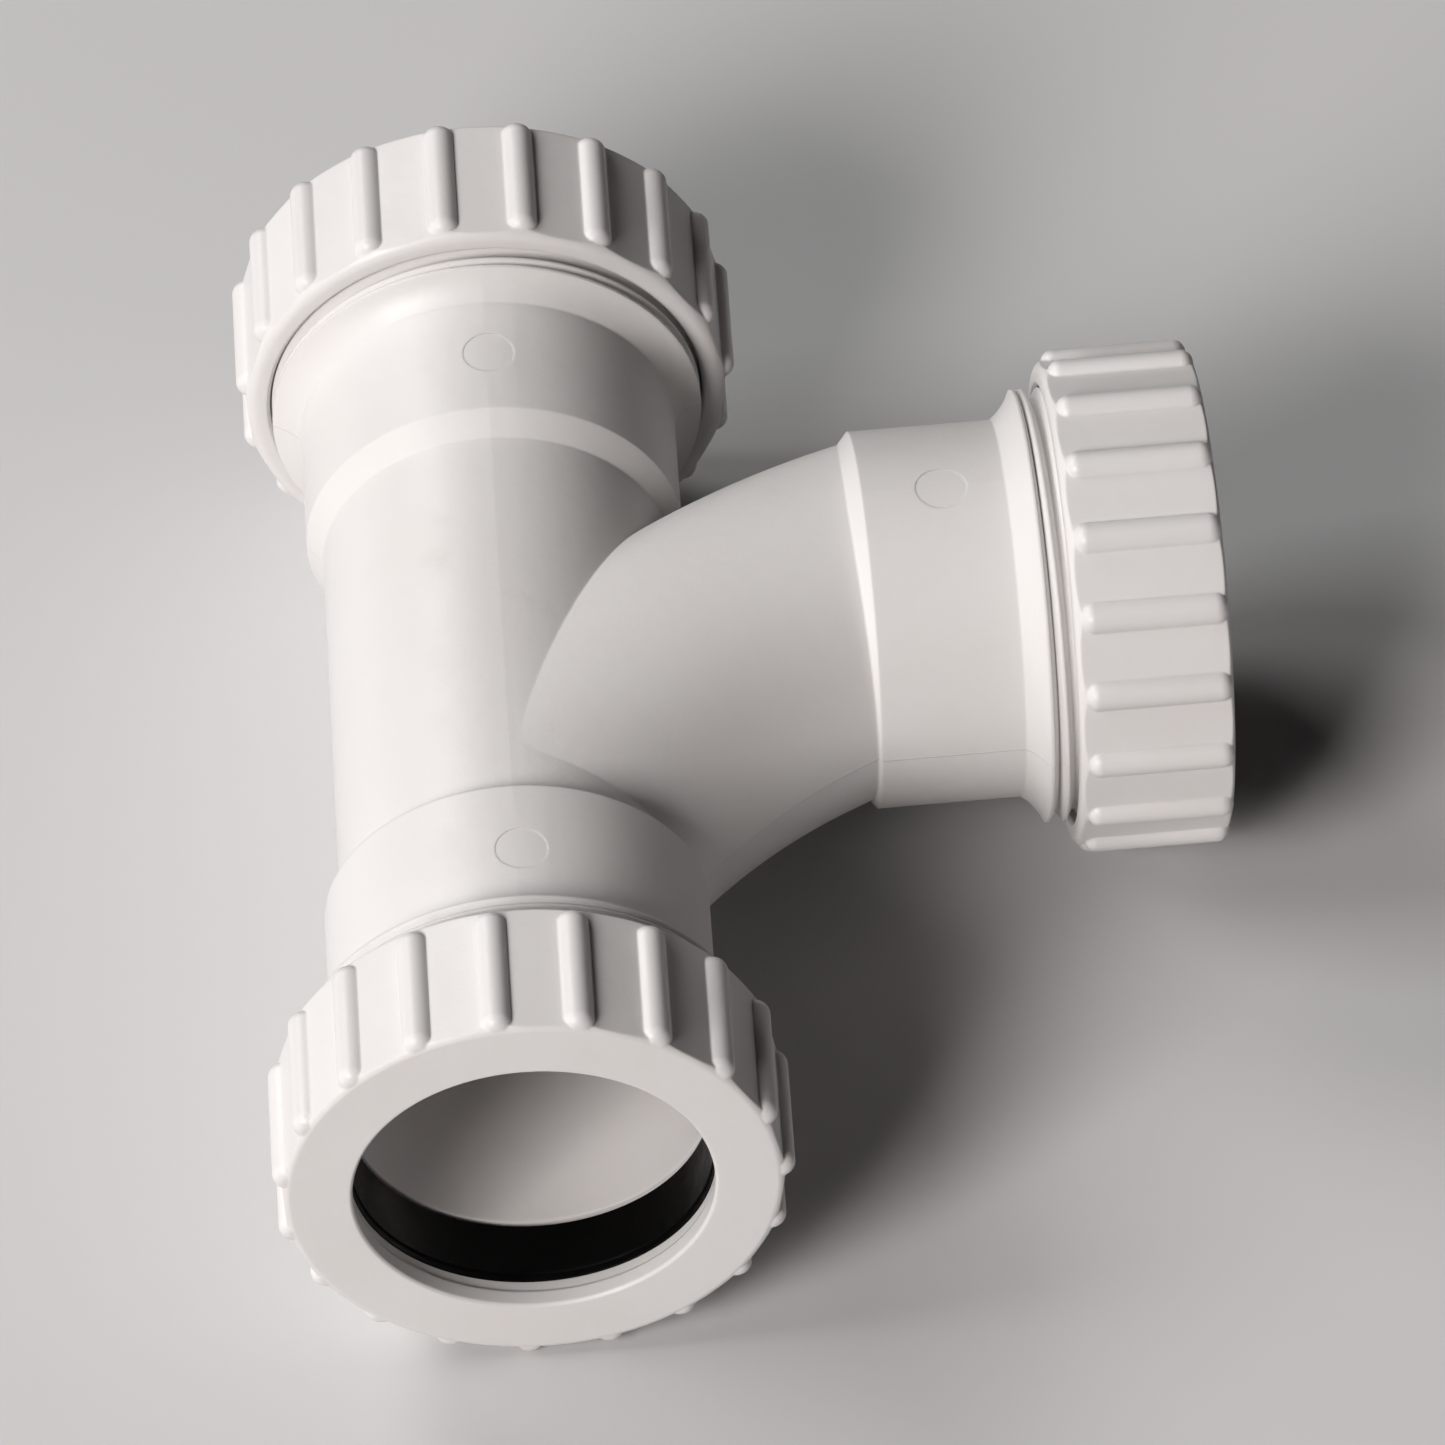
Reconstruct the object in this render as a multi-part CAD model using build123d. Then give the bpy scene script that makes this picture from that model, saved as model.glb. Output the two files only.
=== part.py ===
from build123d import *
import math
import os

# Swept waste tee, 92.5 degrees, with a universal compression socket on each of its three ends.
# One moulded body carries the run tube, the swept branch and three threaded sockets.
# Each socket holds a tapered rubber seal and a slip washer, clamped by a ribbed cap nut.
#
# Frame: the run lies along Y, with the outlet towards -Y and the inlet towards +Y.
# The branch leaves towards +X. The origin is the centre of the outlet's pipe stop.

# ---- Driving dimensions, in millimetres and degrees ----

# Layout, measured along each centreline from the point where run and branch cross
OUTLET_SHOULDER = 43.0
INLET_SHOULDER = 19.35
BRANCH_SHOULDER = 45.0
BRANCH_TILT = 2.5

# Tubes
PIPE_BORE_R = 21.7
WATERWAY_R = 19.3
RUN_TUBE_R = 21.5
SWEEP_TUBE_R = 21.45
SWEEP_WATERWAY_R = 19.25
SWEEP_RADIUS = 93.2
SWEEP_CENTRE_X = 79.1
SWEEP_CENTRE_Y = -84.5

# Sockets, measured outwards from the shoulder
SOCKET_R = 23.5
SHORT_CONE = 1.7
LONG_CONE = 3.3
PIPE_STOP = 4.5
RAMP_START = 17.8
RAMP_HOLLOW = 0.35
COLLAR = 20.8
SEAL_CONE_START = 31.0
SEAL_CONE_R = 22.4
MOUTH = 36.8
MOUTH_CONE_R = 24.7
MARK_R = 3.2
MARK_DEPTH = 0.05

# Thread, right-hand, 11 turns to the inch. All three sockets start it at the same angle.
PITCH = 25.4 / 11
THREAD_START = 160.0
FLANK_ANGLE = 27.5
MALE_CREST_R = 27.0
MALE_ROOT_R = 25.6
MALE_CREST_WIDTH = 0.35
FEMALE_CREST_R = 25.95
FEMALE_ROOT_R = 27.25
FEMALE_CREST_WIDTH = 0.25
ROOT_SINK = 0.2
CREST_ROUND = 0.12

# Cap nut
NUT_HEIGHT = 19.1
NUT_FACETS = 19
NUT_CORNER_R = 30.4
NUT_FACE_R = 28.9
NUT_EDGE_DROP = 1.2
NUT_PLATE = 2.3
NUT_HOLE_R = 21.8
NUT_HOLE_EDGE = 0.3
NUT_MOUTH_EDGE = 1.6
NUT_THREAD_START = 1.7
NUT_THREAD_END = 14.6
RIB_TIP_R = 31.5
RIB_RADIUS = 2.0
RIB_START = 0.9
RIB_END = 19.0
RIB_END_ROUND = 1.5

# Slip washer, under the nut's plate
PLATE_GAP = 0.15
WASHER_GAP = 0.1
WASHER_THICKNESS = 1.5
WASHER_OUTER_R = 25.7
WASHER_INNER_R = 22.1
WASHER_EDGE = 0.2

# Tapered seal. Its tip stands just off the step at the foot of the socket's cone,
# and it fills the height that is left under the washer.
SEAL_TIP = 31.65
SEAL_FLANGE_R = 25.3
SEAL_FLANGE_START = 37.1
SEAL_FLANGE_EDGE = 0.3
SEAL_INNER_R = 21.75
SEAL_LIP_R = 22.0
SEAL_LIP_HEIGHT = 1.0
SEAL_CONE_GAP = 0.15

# Each end: shoulder distance, direction, length of the cone below the shoulder,
# angle that the nut is turned to, how far the nut's face stands out from the shoulder,
# and the place and angle of the round moulding mark.
# Angles are about the outward axis, counted from +Z.
ENDS = {
    "outlet": {
        "shoulder": OUTLET_SHOULDER,
        "heading": -90.0,
        "cone": SHORT_CONE,
        "nut_angle": 177.63,
        "face": 44.04,
        "mark": (10.0, -1.6),
    },
    "inlet": {
        "shoulder": INLET_SHOULDER,
        "heading": 90.0,
        "cone": LONG_CONE,
        "nut_angle": 256.76,
        "face": 42.25,
        "mark": (9.4, 0.8),
    },
    "branch": {
        "shoulder": BRANCH_SHOULDER,
        "heading": BRANCH_TILT,
        "cone": SHORT_CONE,
        "nut_angle": 8.10,
        "face": 43.0,
        "mark": (9.9, 0.7),
    },
}

# ---- Sizes worked out from the driving dimensions ----

CROSSING_Y = OUTLET_SHOULDER + PIPE_STOP
TAN_FLANK = math.tan(math.radians(FLANK_ANGLE))
SEAL_SLOPE = (MOUTH_CONE_R - SEAL_CONE_R) / (MOUTH - SEAL_CONE_START)
WASHER_TOP = NUT_PLATE + PLATE_GAP
SEAL_TOP = WASHER_TOP + WASHER_THICKNESS + WASHER_GAP
HALF_SPACE = 200.0


def end_plane(end):
    """The plane at an end's shoulder, with z pointing out of the end and x straight up."""
    heading = math.radians(end["heading"])
    outward = (math.cos(heading), math.sin(heading), 0)
    along = end["shoulder"]
    centre = (along * outward[0], CROSSING_Y + along * outward[1], 0)
    return Plane(origin=centre, x_dir=(0, 0, 1), z_dir=outward)


def turned(points):
    """A solid of revolution about Z from (radius, height) points."""
    outline = Plane.XZ * make_face(Polyline(*points, close=True))
    return revolve(outline, Axis.Z)


def tube(radius, low, high):
    """A plain cylinder about Z between two heights."""
    return Pos(0, 0, low) * extrude(Circle(radius), high - low)


def v_ridge(root_r, crest_r, crest_width, height):
    """A right-hand helical V ridge that starts on the x axis, with its root sunk into the wall."""
    side = math.copysign(1, crest_r - root_r)
    buried_r = root_r - side * ROOT_SINK
    half_crest = crest_width / 2
    half_base = half_crest + abs(crest_r - buried_r) * TAN_FLANK
    outline = Polyline(
        (buried_r, -half_base),
        (crest_r, -half_crest),
        (crest_r, half_crest),
        (buried_r, half_base),
        close=True,
    )
    profile = make_face(outline)
    crest = [v for v in profile.vertices() if abs(v.X - crest_r) < 1e-6]
    profile = fillet(crest, CREST_ROUND)
    path = Helix(PITCH, height, root_r)
    return sweep(Plane.XZ * profile, path=path, is_frenet=True)


# ---- Body moulding ----


def socket_outside(end):
    """The outside of a socket: shoulder cone, plain barrel, hollow ramp and the thread's core."""
    cone = end["cone"]
    half_crest = MALE_CREST_WIDTH / 2 + 0.02
    collar_r = MALE_CREST_R + 0.02
    flank = (MALE_CREST_R - MALE_ROOT_R) * TAN_FLANK
    ramp_top = COLLAR - half_crest
    with BuildPart() as outside:
        with BuildSketch(Plane.XZ):
            with BuildLine():
                Polyline((0, -cone), (RUN_TUBE_R - 0.01, -cone), (SOCKET_R, 0), (SOCKET_R, RAMP_START))
                SagittaArc((SOCKET_R, RAMP_START), (collar_r, ramp_top), RAMP_HOLLOW)
                Polyline(
                    (collar_r, ramp_top),
                    (collar_r, COLLAR + half_crest),
                    (MALE_ROOT_R, COLLAR + half_crest + flank),
                    (MALE_ROOT_R, MOUTH),
                    (0, MOUTH),
                    (0, -cone),
                )
            make_face()
        revolve(axis=Axis.Z)
    return outside.part


def socket_thread():
    """The male thread, which grows out of the collar and is chamfered at the mouth."""
    ridge = v_ridge(MALE_ROOT_R, MALE_CREST_R, MALE_CREST_WIDTH, MOUTH - COLLAR)
    placed = Rot(0, 0, THREAD_START) * Pos(0, 0, COLLAR) * ridge
    lead = MALE_CREST_R - MALE_ROOT_R
    envelope = turned(
        [
            (PIPE_BORE_R + 3, COLLAR - 3),
            (MALE_CREST_R + 1, COLLAR - 3),
            (MALE_CREST_R + 1, MOUTH - lead - 1),
            (MALE_ROOT_R - 0.1, MOUTH + 0.1),
            (PIPE_BORE_R + 3, MOUTH + 0.1),
        ]
    )
    return placed & envelope


def socket_inside(end):
    """The space inside a socket: waterway, pipe bore and the cone that the seal is pressed into."""
    return turned(
        [
            (0, -end["cone"]),
            (WATERWAY_R, -end["cone"]),
            (WATERWAY_R, PIPE_STOP),
            (PIPE_BORE_R, PIPE_STOP),
            (PIPE_BORE_R, SEAL_CONE_START),
            (SEAL_CONE_R, SEAL_CONE_START),
            (MOUTH_CONE_R + SEAL_SLOPE, MOUTH + 1),
            (0, MOUTH + 1),
        ]
    )


def moulding_mark(end):
    """A round recess of even depth on a barrel, as an ejector pad leaves."""
    height, angle = end["mark"]
    pad = Pos(0, 0, height) * Rot(0, 90, 0) * tube(MARK_R, SOCKET_R - 2, SOCKET_R + 1)
    pad -= tube(SOCKET_R - MARK_DEPTH, height - MARK_R - 1, height + MARK_R + 1)
    return Rot(0, 0, angle) * pad


def sweep_tube(radius):
    """The curved branch between the run's centreline and the branch shoulder."""
    crossing = math.atan2(
        math.sqrt(SWEEP_RADIUS**2 - SWEEP_CENTRE_X**2),
        -SWEEP_CENTRE_X,
    )
    tilt = math.radians(BRANCH_TILT)
    shoulder = (
        BRANCH_SHOULDER * math.cos(tilt) - SWEEP_CENTRE_X,
        BRANCH_SHOULDER * math.sin(tilt) - SWEEP_CENTRE_Y,
    )
    finish = math.atan2(shoulder[1], shoulder[0]) - 0.12
    start_angle = math.degrees(finish)
    arc_size = math.degrees(crossing - finish)
    path = CenterArc((SWEEP_CENTRE_X, SWEEP_CENTRE_Y), SWEEP_RADIUS, start_angle, arc_size)
    section = Plane(origin=path @ 0, z_dir=path % 0) * Circle(radius)
    return Pos(0, CROSSING_Y, 0) * sweep(section, path=path)


def body():
    """The one-piece moulded body."""
    planes = {name: end_plane(end) for name, end in ENDS.items()}
    run_low = -PIPE_STOP - 0.5
    run_high = CROSSING_Y + INLET_SHOULDER - LONG_CONE + 0.5
    along_run = Plane(origin=(0, 0, 0), x_dir=(0, 0, 1), z_dir=(0, 1, 0))
    outside = along_run * tube(RUN_TUBE_R, run_low, run_high)
    beyond_shoulder = planes["branch"] * Pos(0, 0, HALF_SPACE / 2) * Box(HALF_SPACE, HALF_SPACE, HALF_SPACE)
    outside += sweep_tube(SWEEP_TUBE_R) - beyond_shoulder
    for name, plane in planes.items():
        outside += plane * socket_outside(ENDS[name])
    inside = along_run * tube(WATERWAY_R, run_low, run_high)
    inside += sweep_tube(SWEEP_WATERWAY_R) - beyond_shoulder
    for name, plane in planes.items():
        inside += plane * socket_inside(ENDS[name])
        outside -= plane * moulding_mark(ENDS[name])
    shell = outside - inside
    for plane in planes.values():
        shell += plane * socket_thread()
    return shell


# ---- Cap nut ----


def nut_rib():
    """One finger rib on a corner of the nut, half round with rounded ends."""
    rib = tube(RIB_RADIUS, RIB_START, RIB_END)
    rib = fillet(rib.edges().filter_by(GeomType.CIRCLE), RIB_END_ROUND)
    return Pos(RIB_TIP_R - RIB_RADIUS, 0, 0) * rib


def cap_nut():
    """The nut, mouth down at height 0, with its holed plate at the top."""
    outer_r = NUT_CORNER_R + 0.05
    prism = extrude(RegularPolygon(NUT_CORNER_R, NUT_FACETS), NUT_HEIGHT)
    with BuildPart() as envelope:
        with BuildSketch(Plane.XZ):
            with BuildLine():
                Polyline((0, NUT_HEIGHT), (0, 0), (outer_r - NUT_MOUTH_EDGE, 0))
                RadiusArc((outer_r - NUT_MOUTH_EDGE, 0), (outer_r, NUT_MOUTH_EDGE), -NUT_MOUTH_EDGE)
                Line((outer_r, NUT_MOUTH_EDGE), (outer_r, NUT_HEIGHT - NUT_EDGE_DROP))
                ThreePointArc(
                    (outer_r, NUT_HEIGHT - NUT_EDGE_DROP),
                    (outer_r - 0.4, NUT_HEIGHT - 0.35),
                    (NUT_FACE_R, NUT_HEIGHT),
                )
                Line((NUT_FACE_R, NUT_HEIGHT), (0, NUT_HEIGHT))
            make_face()
        revolve(axis=Axis.Z)
    nut = prism & envelope.part
    for index in range(NUT_FACETS):
        nut += Rot(0, 0, index * 360 / NUT_FACETS) * nut_rib()
    nut -= nut_inside()
    ridge = v_ridge(FEMALE_ROOT_R, FEMALE_CREST_R, FEMALE_CREST_WIDTH, NUT_THREAD_END - NUT_THREAD_START)
    nut += Pos(0, 0, NUT_THREAD_START) * ridge
    return nut


def nut_inside():
    """The space inside the nut: thread bore, with the pipe's hole through the plate."""
    plate_inside = NUT_HEIGHT - NUT_PLATE
    edge = 0.4
    return turned(
        [
            (0, -1),
            (FEMALE_ROOT_R + edge + 1, -1),
            (FEMALE_ROOT_R, edge),
            (FEMALE_ROOT_R, plate_inside),
            (NUT_HOLE_R, plate_inside),
            (NUT_HOLE_R, NUT_HEIGHT - NUT_HOLE_EDGE),
            (NUT_HOLE_R + NUT_HOLE_EDGE, NUT_HEIGHT),
            (NUT_HOLE_R + NUT_HOLE_EDGE, NUT_HEIGHT + 1),
            (0, NUT_HEIGHT + 1),
        ]
    )


# ---- Rings under the nut ----


def slip_washer():
    """The flat plastic ring under the nut's plate, with height 0 at the nut's outer face."""
    top = -WASHER_TOP
    bottom = top - WASHER_THICKNESS
    return turned(
        [
            (WASHER_INNER_R, bottom),
            (WASHER_OUTER_R - WASHER_EDGE, bottom),
            (WASHER_OUTER_R, bottom + WASHER_EDGE),
            (WASHER_OUTER_R, top - WASHER_EDGE),
            (WASHER_OUTER_R - WASHER_EDGE, top),
            (WASHER_INNER_R, top),
        ]
    )


def tapered_seal(face):
    """The rubber ring that wedges into the socket's cone, with height 0 at the shoulder."""
    top = face - SEAL_TOP
    cone_top = SEAL_FLANGE_START - 0.1
    tip_r = SEAL_CONE_R + SEAL_SLOPE * (SEAL_TIP - SEAL_CONE_START) - SEAL_CONE_GAP
    cone_r = tip_r + SEAL_SLOPE * (cone_top - SEAL_TIP)
    return turned(
        [
            (SEAL_INNER_R, SEAL_TIP),
            (tip_r - 0.1, SEAL_TIP),
            (tip_r, SEAL_TIP + 0.1),
            (cone_r, cone_top),
            (SEAL_FLANGE_R, SEAL_FLANGE_START),
            (SEAL_FLANGE_R, top - SEAL_FLANGE_EDGE),
            (SEAL_FLANGE_R - SEAL_FLANGE_EDGE, top),
            (SEAL_LIP_R, top),
            (SEAL_LIP_R, top - SEAL_LIP_HEIGHT),
            (SEAL_INNER_R, top - SEAL_LIP_HEIGHT),
        ]
    )


# ---- Placing the pieces ----


def meshed_face(end):
    """Where the nut's face lies, nearest to the wanted place, for the two threads to mesh."""
    turn = (end["nut_angle"] - THREAD_START) / 360
    first = COLLAR + PITCH / 2 + PITCH * turn - NUT_THREAD_START + NUT_HEIGHT
    return first + PITCH * round((end["face"] - first) / PITCH)


def main():
    os.makedirs("parts", exist_ok=True)
    pieces = {"tee_body": body()}
    nut = cap_nut()
    washer = slip_washer()
    for name, end in ENDS.items():
        plane = end_plane(end)
        face = meshed_face(end)
        print(name, "nut face at", round(face, 3), "wanted", end["face"])
        turned_nut = Pos(0, 0, face - NUT_HEIGHT) * Rot(0, 0, end["nut_angle"]) * nut
        pieces[name + "_cap_nut"] = plane * turned_nut
        pieces[name + "_slip_washer"] = plane * Pos(0, 0, face) * washer
        pieces[name + "_seal"] = plane * tapered_seal(face)
    for name, piece in pieces.items():
        export_step(piece, os.path.join("parts", name + ".step"))


if __name__ == "__main__":
    main()
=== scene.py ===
"""Looks for a swept waste tee with three ribbed cap nuts, slip washers and tapered rubber seals.

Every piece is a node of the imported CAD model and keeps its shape. This script gives each one its
moulded plastic or rubber material, and sets up the floor, the studio lights and the camera.
"""

import math

import bpy
from mathutils import Matrix, Vector


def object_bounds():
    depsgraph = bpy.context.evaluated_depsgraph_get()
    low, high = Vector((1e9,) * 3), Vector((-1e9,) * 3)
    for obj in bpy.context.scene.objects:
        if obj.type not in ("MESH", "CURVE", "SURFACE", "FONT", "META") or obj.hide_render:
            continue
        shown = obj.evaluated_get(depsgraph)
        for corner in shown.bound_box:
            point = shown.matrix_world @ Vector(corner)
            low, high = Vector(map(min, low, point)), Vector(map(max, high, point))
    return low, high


MM = 0.001
ENDS = ("outlet", "inlet", "branch")

# Camera, in degrees and metres. It is far off with a long lens, a little off the -Y side.
CAMERA_AZIMUTH = -2.2087
CAMERA_ELEVATION = 48.4479
CAMERA_ROLL = -1.3076
CAMERA_TARGET = (0.02669, 0.03370, 0.0)
CAMERA_DISTANCE = 1.7224
CAMERA_SENSOR = 36.0
CAMERA_LENS = 347.76
CAMERA_NEAR = 0.05
CAMERA_FAR = 50.0

FLOOR_DROP = 0.15 * MM
FLOOR_SIZE = 14.0

# Square soft boxes: azimuth and elevation in degrees, power in watts, colour
LIGHT_DISTANCE = 3.2
LIGHT_SIZE = 1.3
LIGHTS = {
    "key": (-38.0, 33.0, 68.0, (1.0, 0.955, 0.945)),
    "left": (-90.0, 44.0, 24.0, (0.97, 1.0, 1.0)),
    "back": (-135.0, 40.0, 24.0, (1.0, 0.97, 0.96)),
}
ROOM_COLOUR = (1.0, 0.93, 0.925, 1.0)
ROOM_STRENGTH = 0.015

# Colours, linear
BODY_WHITE = (0.80, 0.785, 0.775, 1.0)
BODY_WARM = (0.785, 0.765, 0.75, 1.0)
NUT_WHITE = (0.81, 0.795, 0.785, 1.0)
NUT_WARM = (0.79, 0.77, 0.757, 1.0)
WASHER_WHITE = (0.74, 0.73, 0.71, 1.0)
WASHER_WARM = (0.72, 0.70, 0.68, 1.0)
GRIME = (0.52, 0.47, 0.42, 1.0)
RUBBED_PLASTIC = (0.9, 0.895, 0.885, 1.0)
RUBBER_BLACK = (0.0016, 0.0015, 0.0015, 1.0)
RUBBER_BLOOM = (0.004, 0.0039, 0.0038, 1.0)
RUBBED_RUBBER = (0.007, 0.007, 0.007, 1.0)
FLOOR_GREY = (0.70, 0.70, 0.70, 1.0)
FLOOR_PALER = (0.712, 0.71, 0.708, 1.0)

FLOOR_SHADER = {"Roughness": 0.9, "Specular IOR Level": 0.1}
RUBBER_SHADER = {"Specular IOR Level": 0.3}
PLASTIC_SHADER = {
    "IOR": 1.49,
    "Specular IOR Level": 0.42,
    "Subsurface Weight": 0.12,
    "Subsurface Radius": (1.0, 0.85, 0.75),
    "Subsurface Scale": 1.2 * MM,
}

# Radii that the edges look rounded to, and how near to 1 the cosine between the true and the
# rounded normal comes on an edge and on a smooth wall
PLASTIC_EDGE = 0.45 * MM
THIN_EDGE = 0.12 * MM
BEVEL_SAMPLES = 4
EDGE_COSINES = (0.9, 0.995)

# Noise scales, in waves per metre
FLOOR_CLOUD_SCALE = 3.0
CLOUD_SCALE = 38.0
SMUDGE_SCALE = 120.0
PEEL_SCALE = 420.0
GRAIN_SCALE = 2600.0
FLOW_SCALE = (260.0, 260.0, 900.0)
SCUFF_SCALE = (900.0, 110.0, 500.0)
SCUFF_TURN = (0.3, 0.2, 0.7)
BLOOM_SCALE = 180.0
RIPPLE_SCALE = 650.0
RUBBER_GRAIN_SCALE = 3200.0

# Noise levels between which a tint or a kind of wear comes in
TINT_LEVELS = (0.3, 0.7)
SATIN_LEVELS = (0.3, 0.75)
PATCH_LEVELS = (0.5, 0.68)
SCUFF_LEVELS = (0.66, 0.76)
GRIME_LEVELS = (0.56, 0.8)
BLOOM_LEVELS = (0.52, 0.78)

# The most that each kind of wear changes the colour
MOST_GRIME = 0.16
MOST_BLOOM = 0.35
PLASTIC_RUB = 0.25
RUBBER_RUB = 0.5

# Roughness of each plastic, what its smudges, edges and scuffs add, and the rubber's range
BODY_ROUGHNESS = 0.40
NUT_ROUGHNESS = 0.37
WASHER_ROUGHNESS = 0.34
SMUDGE_CHANGES = (-0.05, 0.07)
EDGE_ROUGHER = 0.05
SCUFF_ROUGHER = 0.14
RUBBER_ROUGHNESS = (0.36, 0.58)

# Heights of the surface's detail, as parts of a millimetre
GRAIN_HEIGHT = 0.010
PEEL_HEIGHT = 0.030
FLOW_HEIGHT = 0.012
SCUFF_DEPTH = 0.02
SEAM_HEIGHT = 0.05
RUBBER_GRAIN_HEIGHT = 0.018
RIPPLE_HEIGHT = 0.035

# The parting line falls from its full height to nothing between these distances from the middle
SEAM_SIDES = (0.03 * MM, 0.16 * MM)


class Surface:
    """A new material, with short ways to add, join and combine its nodes."""

    def __init__(self, name):
        self.material = bpy.data.materials.new(name)
        self.material.use_nodes = True
        self.tree = self.material.node_tree
        self.shader = self.tree.nodes["Principled BSDF"].inputs
        self.place = self.add("ShaderNodeTexCoord").outputs["Object"]

    def add(self, kind, **values):
        """A node, with its settings, or the values of its sockets."""
        node = self.tree.nodes.new(kind)
        for key, value in values.items():
            if hasattr(node, key):
                setattr(node, key, value)
            else:
                node.inputs[key.replace("_", " ")].default_value = value
        return node

    def join(self, source, target):
        """Joins an output to an input, or sets the input to a number or a colour."""
        if isinstance(source, (int, float, tuple)):
            target.default_value = source
        else:
            self.tree.links.new(source, target)

    def noise(self, scale, detail=3.0, roughness=0.55):
        """A noise texture in the object's own metres."""
        node = self.add("ShaderNodeTexNoise", Scale=scale, Detail=detail, Roughness=roughness)
        self.join(self.place, node.inputs["Vector"])
        return node.outputs["Fac"]

    def stretched(self, scale, turn=(0.0, 0.0, 0.0)):
        """The object's own place, stretched and turned, for noise that runs one way."""
        node = self.add("ShaderNodeMapping", Scale=scale, Rotation=turn)
        self.join(self.place, node.inputs["Vector"])
        return node.outputs["Vector"]

    def settle(self, constants):
        """Sets the shader's own sockets."""
        for socket, value in constants.items():
            self.shader[socket].default_value = value

    def ramp(self, source, levels, values=(0.0, 1.0)):
        """A smooth change from the first value to the second between two levels of the source."""
        node = self.add(
            "ShaderNodeMapRange",
            interpolation_type="SMOOTHSTEP",
            From_Min=levels[0],
            From_Max=levels[1],
            To_Min=values[0],
            To_Max=values[1],
        )
        self.join(source, node.inputs["Value"])
        return node.outputs["Result"]

    def maths(self, operation, first, second=0.0):
        """One maths node. Either side is a socket or a number."""
        node = self.add("ShaderNodeMath", operation=operation)
        self.join(first, node.inputs[0])
        self.join(second, node.inputs[1])
        return node.outputs[0]

    def times(self, first, second):
        """The product of two sockets or numbers."""
        return self.maths("MULTIPLY", first, second)

    def total(self, *sockets):
        """The sum of several sockets."""
        result = sockets[0]
        for socket in sockets[1:]:
            result = self.maths("ADD", result, socket)
        return result

    def mix(self, factor, first, second):
        """A blend of two colours. The node's colour sockets are its inputs 6 and 7 and output 2."""
        node = self.add("ShaderNodeMix", data_type="RGBA")
        self.join(factor, node.inputs[0])
        self.join(first, node.inputs[6])
        self.join(second, node.inputs[7])
        return node.outputs[2]

    def soft_edges(self, radius):
        """Nearly 1 on outside and inside edges and 0 on smooth walls, with the rounded normal."""
        bevel = self.add("ShaderNodeBevel", samples=BEVEL_SAMPLES, Radius=radius)
        geometry = self.add("ShaderNodeNewGeometry")
        dot = self.add("ShaderNodeVectorMath", operation="DOT_PRODUCT")
        self.join(bevel.outputs["Normal"], dot.inputs[0])
        self.join(geometry.outputs["Normal"], dot.inputs[1])
        edges = self.ramp(dot.outputs["Value"], EDGE_COSINES, (1.0, 0.0))
        return edges, bevel.outputs["Normal"]

    def relief(self, height, normal):
        """Fine detail from a height in millimetres, on top of the given normal."""
        bump = self.add("ShaderNodeBump", Strength=1.0, Distance=1.0 * MM)
        self.join(height, bump.inputs["Height"])
        self.join(normal, bump.inputs["Normal"])
        self.join(bump.outputs["Normal"], self.shader["Normal"])


def moulded_plastic(name, base, warm, roughness, edge_radius, seam=False):
    """White polypropylene: softened edges, faint mould texture, flow marks and light handling wear."""
    skin = Surface(name)
    edges, soft_normal = skin.soft_edges(edge_radius)
    cloud = skin.noise(CLOUD_SCALE, detail=4.0)
    smudge = skin.noise(SMUDGE_SCALE, detail=5.0, roughness=0.65)
    grain = skin.noise(GRAIN_SCALE, detail=2.0)
    peel = skin.noise(PEEL_SCALE, detail=2.0)

    flow = skin.add("ShaderNodeTexNoise", Scale=1.0, Detail=3.0, Roughness=0.55)
    skin.join(skin.stretched(FLOW_SCALE), flow.inputs["Vector"])
    scuff = skin.add("ShaderNodeTexNoise", Scale=1.0, Detail=6.0, Roughness=0.7, Distortion=1.2)
    skin.join(skin.stretched(SCUFF_SCALE, SCUFF_TURN), scuff.inputs["Vector"])
    patches = skin.ramp(cloud, PATCH_LEVELS)
    worn = skin.times(skin.ramp(scuff.outputs["Fac"], SCUFF_LEVELS), patches)

    colour = skin.mix(skin.ramp(cloud, TINT_LEVELS), base, warm)
    grime = skin.times(skin.ramp(smudge, GRIME_LEVELS, (0.0, MOST_GRIME)), patches)
    colour = skin.mix(grime, colour, GRIME)
    colour = skin.mix(skin.times(edges, PLASTIC_RUB), colour, RUBBED_PLASTIC)
    skin.join(colour, skin.shader["Base Color"])

    satin = skin.ramp(smudge, SATIN_LEVELS, tuple(roughness + change for change in SMUDGE_CHANGES))
    rough = skin.total(satin, skin.times(edges, EDGE_ROUGHER), skin.times(worn, SCUFF_ROUGHER))
    skin.join(rough, skin.shader["Roughness"])

    height = skin.total(
        skin.times(grain, GRAIN_HEIGHT),
        skin.times(peel, PEEL_HEIGHT),
        skin.times(flow.outputs["Fac"], FLOW_HEIGHT),
        skin.times(worn, -SCUFF_DEPTH),
    )
    if seam:
        split = skin.add("ShaderNodeSeparateXYZ")
        skin.join(skin.place, split.inputs[0])
        away = skin.maths("ABSOLUTE", split.outputs["Z"])
        height = skin.total(height, skin.ramp(away, SEAM_SIDES, (SEAM_HEIGHT, 0.0)))
    skin.relief(height, soft_normal)
    skin.settle(PLASTIC_SHADER)
    return skin.material


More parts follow.
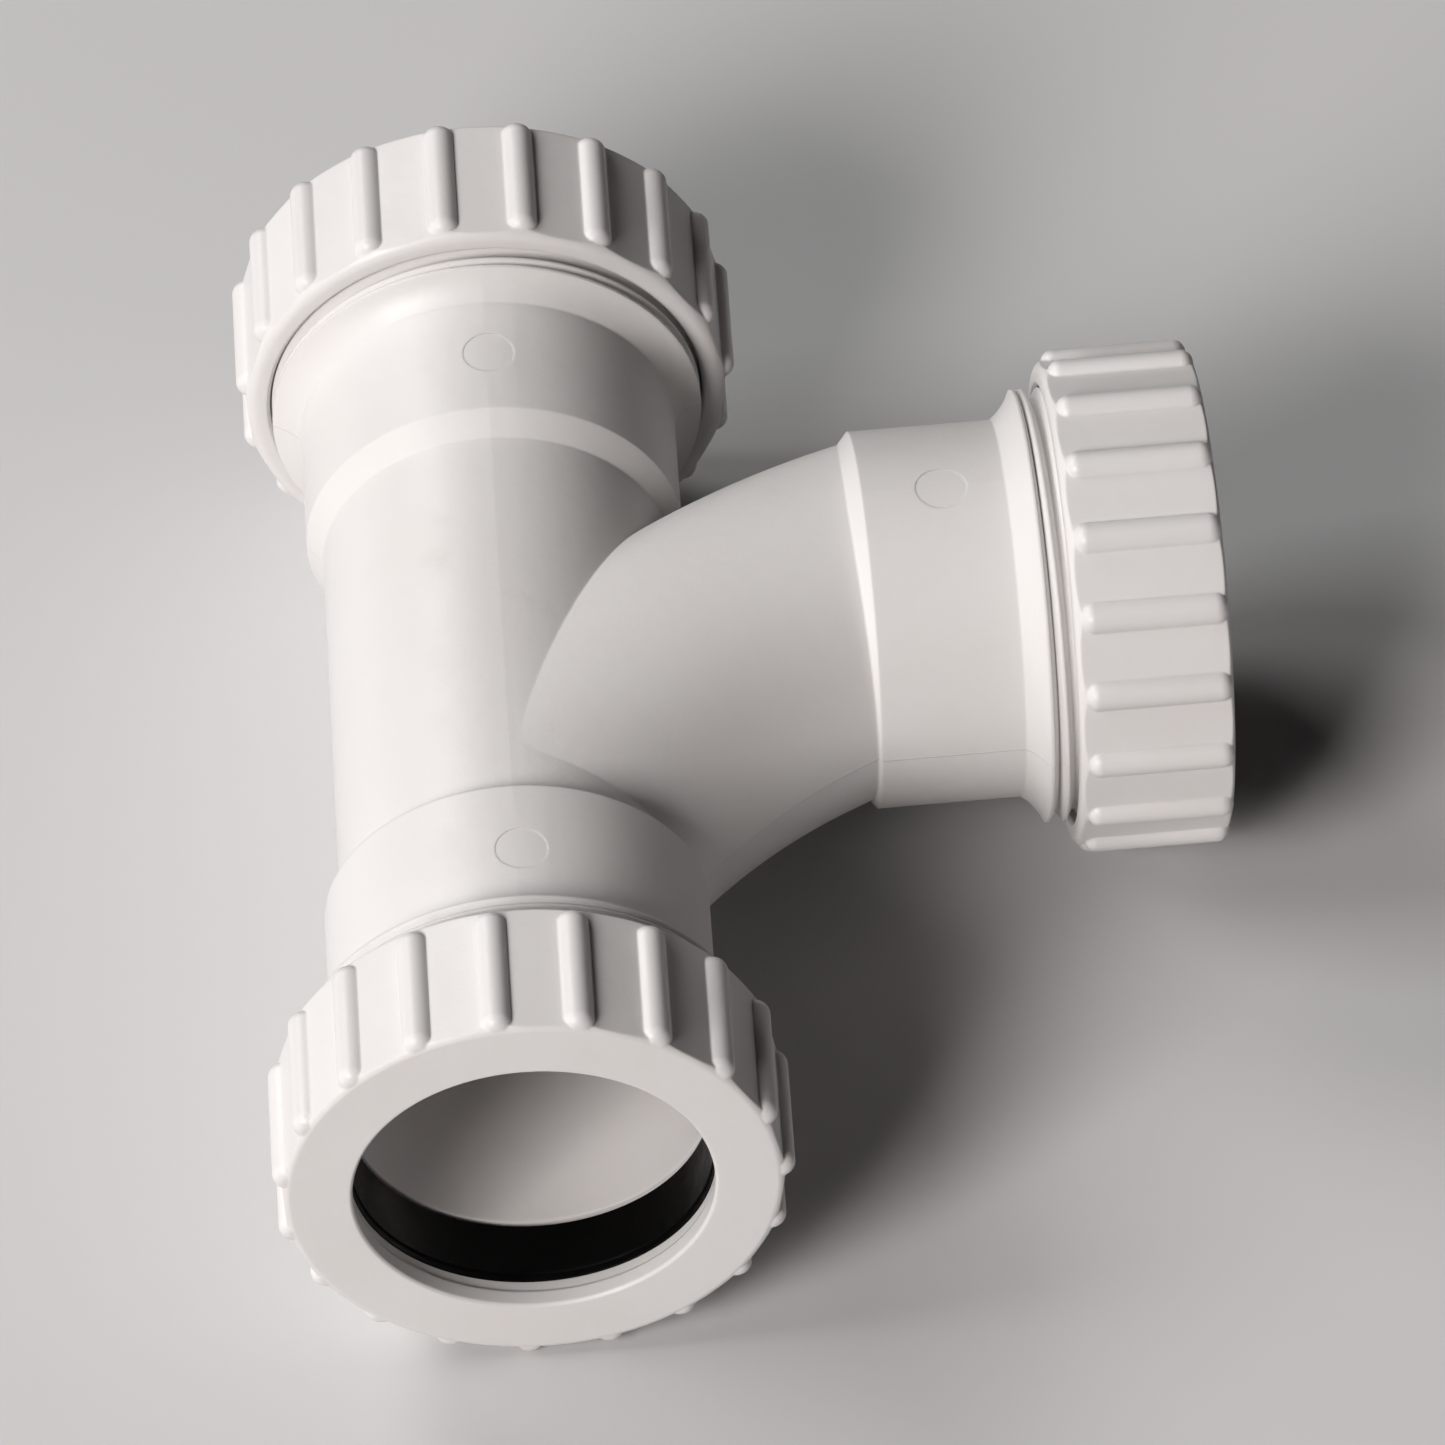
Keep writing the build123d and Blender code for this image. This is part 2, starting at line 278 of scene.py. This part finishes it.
def seal_rubber(name):
    """Black rubber: a matt, finely uneven skin with a faint dusty bloom and rubbed edges."""
    skin = Surface(name)
    edges, soft_normal = skin.soft_edges(THIN_EDGE)
    bloom = skin.noise(BLOOM_SCALE, detail=5.0, roughness=0.6)
    grain = skin.noise(RUBBER_GRAIN_SCALE, detail=2.0)
    ripple = skin.noise(RIPPLE_SCALE)

    dusty = skin.ramp(bloom, BLOOM_LEVELS, (0.0, MOST_BLOOM))
    colour = skin.mix(dusty, RUBBER_BLACK, RUBBER_BLOOM)
    colour = skin.mix(skin.times(edges, RUBBER_RUB), colour, RUBBED_RUBBER)
    skin.join(colour, skin.shader["Base Color"])
    skin.join(skin.ramp(bloom, SATIN_LEVELS, RUBBER_ROUGHNESS), skin.shader["Roughness"])
    height = skin.total(
        skin.times(grain, RUBBER_GRAIN_HEIGHT),
        skin.times(ripple, RIPPLE_HEIGHT),
    )
    skin.relief(height, soft_normal)
    skin.settle(RUBBER_SHADER)
    return skin.material


def floor_paint():
    """Matt pale paint with a faint cloudiness."""
    skin = Surface("floor_paint")
    tint = skin.ramp(skin.noise(FLOOR_CLOUD_SCALE), TINT_LEVELS)
    skin.join(skin.mix(tint, FLOOR_GREY, FLOOR_PALER), skin.shader["Base Color"])
    skin.settle(FLOOR_SHADER)
    return skin.material


def dress(node, material):
    """Puts a material on every slot of a CAD node."""
    slots = node.material_slots
    for slot in slots:
        slot.material = material
    if not slots:
        node.data.materials.append(material)


def floor(height):
    """A wide, plain, pale floor."""
    half = FLOOR_SIZE / 2
    corners = [
        (-half, -half, height),
        (half, -half, height),
        (half, half, height),
        (-half, half, height),
    ]
    mesh = bpy.data.meshes.new("floor")
    mesh.from_pydata(corners, [], [(0, 1, 2, 3)])
    mesh.materials.append(floor_paint())
    plane = bpy.data.objects.new("floor", mesh)
    bpy.context.scene.collection.objects.link(plane)


def direction(azimuth, elevation):
    """The unit vector at an azimuth, counted from -Y towards +X, and an elevation, in degrees."""
    turn = math.radians(azimuth)
    rise = math.radians(elevation)
    return Vector(
        (
            math.sin(turn) * math.cos(rise),
            -math.cos(turn) * math.cos(rise),
            math.sin(rise),
        )
    )


def soft_box(name, azimuth, elevation, power, colour, target):
    """A square area light that faces the target."""
    data = bpy.data.lights.new(name, "AREA")
    data.shape = "SQUARE"
    data.size = LIGHT_SIZE
    data.energy = power
    data.color = colour
    light = bpy.data.objects.new(name, data)
    bpy.context.scene.collection.objects.link(light)
    away = direction(azimuth, elevation)
    light.location = target + away * LIGHT_DISTANCE
    light.rotation_mode = "QUATERNION"
    light.rotation_quaternion = (-away).to_track_quat("-Z", "Y")


def studio(target):
    """A soft key in front on the left, weaker soft boxes on the left and behind, and a dim room."""
    world = bpy.data.worlds.new("room")
    world.use_nodes = True
    background = world.node_tree.nodes["Background"]
    background.inputs["Color"].default_value = ROOM_COLOUR
    background.inputs["Strength"].default_value = ROOM_STRENGTH
    bpy.context.scene.world = world
    for name, (azimuth, elevation, power, colour) in LIGHTS.items():
        soft_box(name, azimuth, elevation, power, colour, target)


def camera():
    """The camera, built from its angles about the target."""
    roll = math.radians(CAMERA_ROLL)
    back = direction(CAMERA_AZIMUTH, CAMERA_ELEVATION)
    level = Vector((0, 0, 1)).cross(back).normalized()
    upright = back.cross(level)
    right = level * math.cos(roll) + upright * math.sin(roll)
    up = upright * math.cos(roll) - level * math.sin(roll)
    data = bpy.data.cameras.new("camera")
    data.sensor_width = CAMERA_SENSOR
    data.lens = CAMERA_LENS
    data.clip_start = CAMERA_NEAR
    data.clip_end = CAMERA_FAR
    shot = bpy.data.objects.new("camera", data)
    bpy.context.scene.collection.objects.link(shot)
    stand = Matrix((right, up, back)).transposed().to_4x4()
    stand.translation = Vector(CAMERA_TARGET) + back * CAMERA_DISTANCE
    shot.matrix_world = stand
    bpy.context.scene.camera = shot


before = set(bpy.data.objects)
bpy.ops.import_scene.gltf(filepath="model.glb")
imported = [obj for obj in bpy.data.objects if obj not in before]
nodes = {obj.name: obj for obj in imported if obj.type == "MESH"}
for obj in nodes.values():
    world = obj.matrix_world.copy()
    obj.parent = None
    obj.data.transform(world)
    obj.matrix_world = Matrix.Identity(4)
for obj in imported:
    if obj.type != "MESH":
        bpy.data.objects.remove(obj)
cad_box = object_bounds()

body_plastic = moulded_plastic(
    "body_plastic", BODY_WHITE, BODY_WARM, BODY_ROUGHNESS, PLASTIC_EDGE, seam=True
)
nut_plastic = moulded_plastic("nut_plastic", NUT_WHITE, NUT_WARM, NUT_ROUGHNESS, PLASTIC_EDGE)
washer_plastic = moulded_plastic(
    "washer_plastic", WASHER_WHITE, WASHER_WARM, WASHER_ROUGHNESS, THIN_EDGE
)
rubber = seal_rubber("seal_rubber")

dress(nodes["tee_body"], body_plastic)
for end in ENDS:
    dress(nodes[end + "_cap_nut"], nut_plastic)
    dress(nodes[end + "_slip_washer"], washer_plastic)
    dress(nodes[end + "_seal"], rubber)

middle = (cad_box[0] + cad_box[1]) / 2
floor(cad_box[0].z - FLOOR_DROP)
studio(middle)
camera()
display = bpy.context.scene.view_settings
display.view_transform = "Standard"
display.look = "Medium High Contrast"
